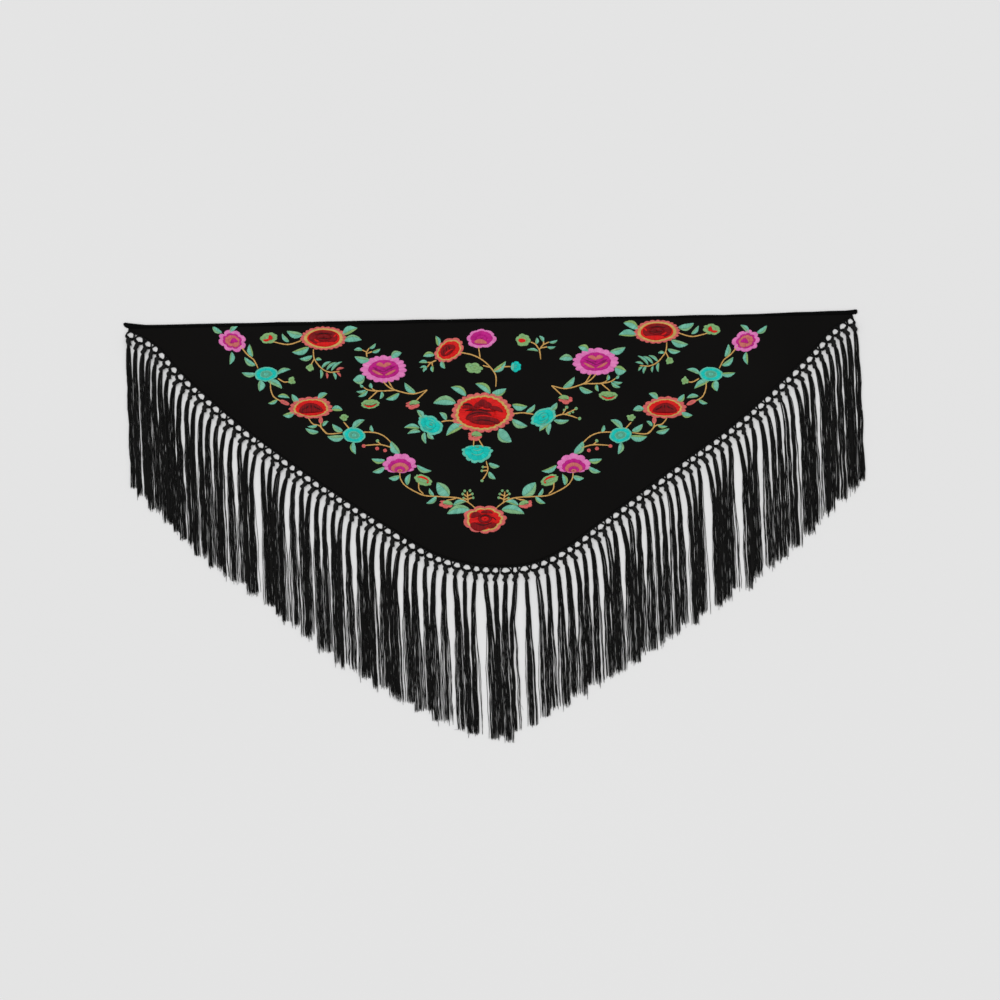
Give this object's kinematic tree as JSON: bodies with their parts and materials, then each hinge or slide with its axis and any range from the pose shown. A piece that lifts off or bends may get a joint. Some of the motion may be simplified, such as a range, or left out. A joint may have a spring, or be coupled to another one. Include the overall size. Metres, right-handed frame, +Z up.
{
  "type": "flamenco shawl",
  "caption": "Three-cornered black crepe shawl laid flat, embroidered with flowers, with a rolled hem on its long edge and a knotted net and tassel fringe on its short sides.",
  "frame": {"origin": "on the floor, under the middle of the whole shawl with its fringe", "axes": "+X along the long edge, to the right with the embroidered side up and the long edge away from the reader; +Y across the cloth towards the long edge; +Z up off the floor"},
  "size_m": [1.3282, 0.7682, 0.0071],
  "materials": {
    "crepe": "matte crepe weave",
    "hem_thread": "rolled and oversewn",
    "fringe_thread": "soft sheen of twisted silk-like thread"
  },
  "bodies": {
    "root": {"cloth_panel": "crepe", "long_edge_hem": "hem_thread", "fringe_left": "fringe_thread", "fringe_right": "fringe_thread"}
  },
  "joints": []
}
